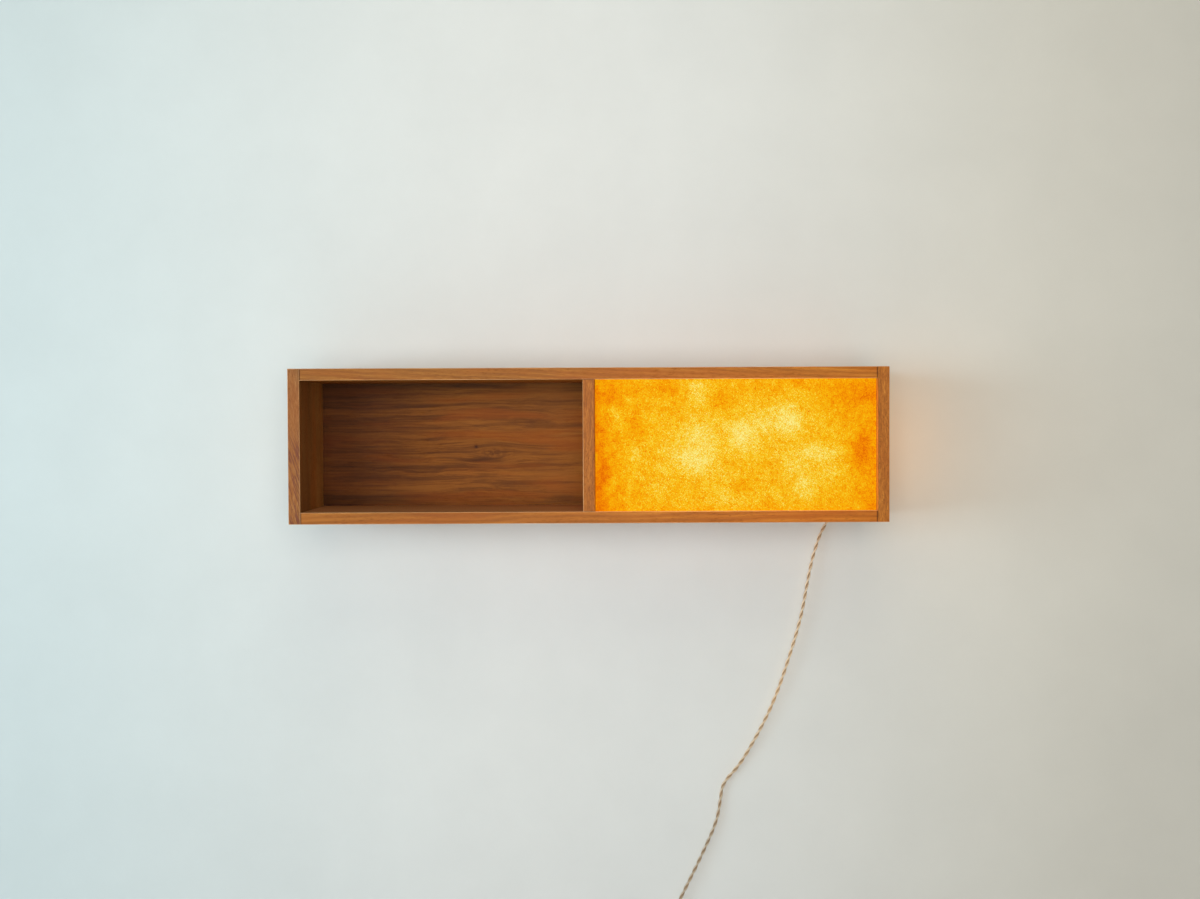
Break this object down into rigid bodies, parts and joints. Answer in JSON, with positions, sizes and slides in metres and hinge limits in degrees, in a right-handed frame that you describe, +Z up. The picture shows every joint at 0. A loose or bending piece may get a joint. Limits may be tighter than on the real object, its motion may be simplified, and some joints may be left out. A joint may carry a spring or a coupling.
{
  "type": "wall shelf lamp",
  "caption": "Long shallow wooden wall box: an open shelf niche beside a lamp bay closed by a glowing amber paper panel, hooked on a wall cleat, with a twisted cloth cord.",
  "frame": {"origin": "on the wall plane, midway between the two screw holes of the wall cleat", "axes": "+X to the right along the box, +Y into the wall, +Z up; the room is towards -Y"},
  "size_m": [0.76, 0.16, 0.9363],
  "materials": {
    "box_wood": "oiled, satin",
    "panel_wood": "oiled, figured grain",
    "batten_wood": "planed, raw",
    "dowel_wood": "fluted, raw",
    "screw_steel": "zinc plated",
    "opal_sheet": "translucent opal",
    "amber_paper": "handmade paper, backlit",
    "bracket_steel": "satin paint",
    "brass_parts": "plain",
    "holder_plastic": "moulded, satin",
    "ceramic": "glazed ceramic",
    "black_insulator": "vitrified",
    "bulb_metal": "drawn",
    "bulb_plastic": "moulded",
    "opal_glass": "opal",
    "block_plastic": "moulded",
    "lead_sleeve": "soft sleeve",
    "cord_cloth": "braided cloth over twisted strands",
    "tie_leather": "vegetable tanned",
    "switch_plastic": "moulded",
    "rocker_plastic": "moulded",
    "plug_plastic": "moulded",
    "pin_metal": "nickel plated"
  },
  "bodies": {
    "wall_rail": {"wall_cleat": "batten_wood"},
    "cabinet": {"hanging_batten": "batten_wood", "left_upright": "box_wood", "right_upright": "box_wood", "top_board": "box_wood", "bottom_board": "box_wood", "divider": "box_wood", "back_panel": "panel_wood", "corner_dowels": "dowel_wood", "divider_dowels": "dowel_wood", "batten_dowels": "dowel_wood", "batten_screw": "screw_steel", "bracket_screws": "screw_steel", "clamp_screws": "screw_steel", "switch_screws": "screw_steel", "terminal_screws": "screw_steel", "lamp_bracket": "bracket_steel", "cord_clamp": "bracket_steel", "holder_nipple": "brass_parts", "holder_nut": "brass_parts", "holder_shell": "brass_parts", "holder_contact": "brass_parts", "terminal_sleeves": "brass_parts", "switch_terminals": "brass_parts", "bulb_contact": "brass_parts", "holder_cap": "holder_plastic", "holder_skirt": "holder_plastic", "holder_insert": "ceramic", "bulb_insulator": "black_insulator", "bulb_cap": "bulb_metal", "bulb_collar": "bulb_plastic", "led_disc": "bulb_plastic", "bulb_globe": "opal_glass", "terminal_block": "block_plastic", "lead_live": "lead_sleeve", "lead_neutral": "lead_sleeve", "inner_cord": "cord_cloth", "cord_drop": "cord_cloth", "cord_link": "cord_cloth", "cord_coil": "cord_cloth", "cord_tail": "cord_cloth", "cord_tie": "tie_leather", "switch_back_shell": "switch_plastic", "switch_front_shell": "switch_plastic", "plug_boot": "plug_plastic", "plug_body": "plug_plastic", "plug_pins": "pin_metal"},
    "diffuser": {"diffuser_sheet": "opal_sheet", "diffuser_paper": "amber_paper"},
    "rocker": {"switch_rocker": "rocker_plastic"}
  },
  "joints": [
    {"name": "cabinet_lift", "type": "slide", "parent": "wall_rail", "child": "cabinet", "axis": [0, 0, 1], "range_m": [0, 0.012]},
    {"name": "diffuser_lift", "type": "slide", "parent": "cabinet", "child": "diffuser", "axis": [0, 0, 1], "range_m": [0, 0.005]},
    {"name": "switch_rocker_tip", "type": "hinge", "parent": "cabinet", "child": "rocker", "pos_m": [0.1105, -0.0146, -0.72808], "axis": [1, 0, 0], "range_deg": [-18, 0]}
  ]
}
